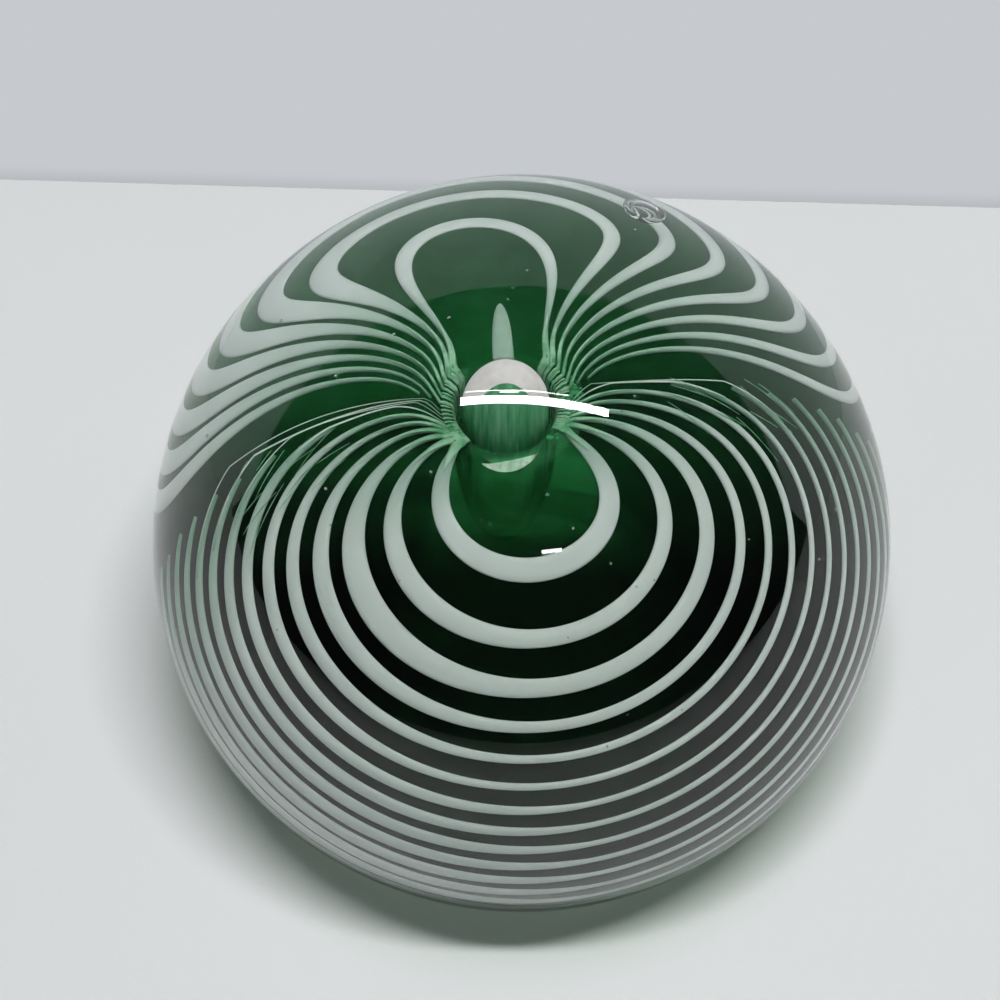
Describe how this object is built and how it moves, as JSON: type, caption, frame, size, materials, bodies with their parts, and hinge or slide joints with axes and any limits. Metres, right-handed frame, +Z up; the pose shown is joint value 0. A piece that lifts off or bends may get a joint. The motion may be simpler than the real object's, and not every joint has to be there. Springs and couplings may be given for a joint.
{
  "type": "glass paperweight",
  "caption": "Domed clear glass paperweight with a dark green core, white thread pulled into loops and a central bubble.",
  "frame": {"origin": "middle of the flat ground base, on the surface that it rests on", "axes": "+Z up through the dome, -Y towards the side of the front loops, +X to the right seen from there"},
  "size_m": [0.075, 0.075, 0.0555],
  "materials": {
    "clear_glass": "polished",
    "green_glass": "polished",
    "white_glass": "polished"
  },
  "bodies": {
    "root": {"clear_casing": "clear_glass", "green_core": "green_glass", "front_trail_01": "white_glass", "front_trail_02": "white_glass", "front_trail_03": "white_glass", "front_trail_04": "white_glass", "front_trail_05": "white_glass", "front_trail_06": "white_glass", "front_trail_07": "white_glass", "front_trail_08": "white_glass", "front_trail_09": "white_glass", "front_trail_10": "white_glass", "front_trail_11": "white_glass", "front_trail_12": "white_glass", "front_trail_13": "white_glass", "front_trail_14": "white_glass", "back_trail_01": "white_glass", "back_trail_02": "white_glass", "back_trail_03": "white_glass", "back_trail_04": "white_glass", "back_trail_05": "white_glass", "back_trail_06": "white_glass", "back_trail_07": "white_glass", "back_trail_08": "white_glass", "back_trail_09": "white_glass", "back_trail_10": "white_glass", "back_trail_11": "white_glass", "back_trail_tip": "white_glass"}
  },
  "joints": []
}
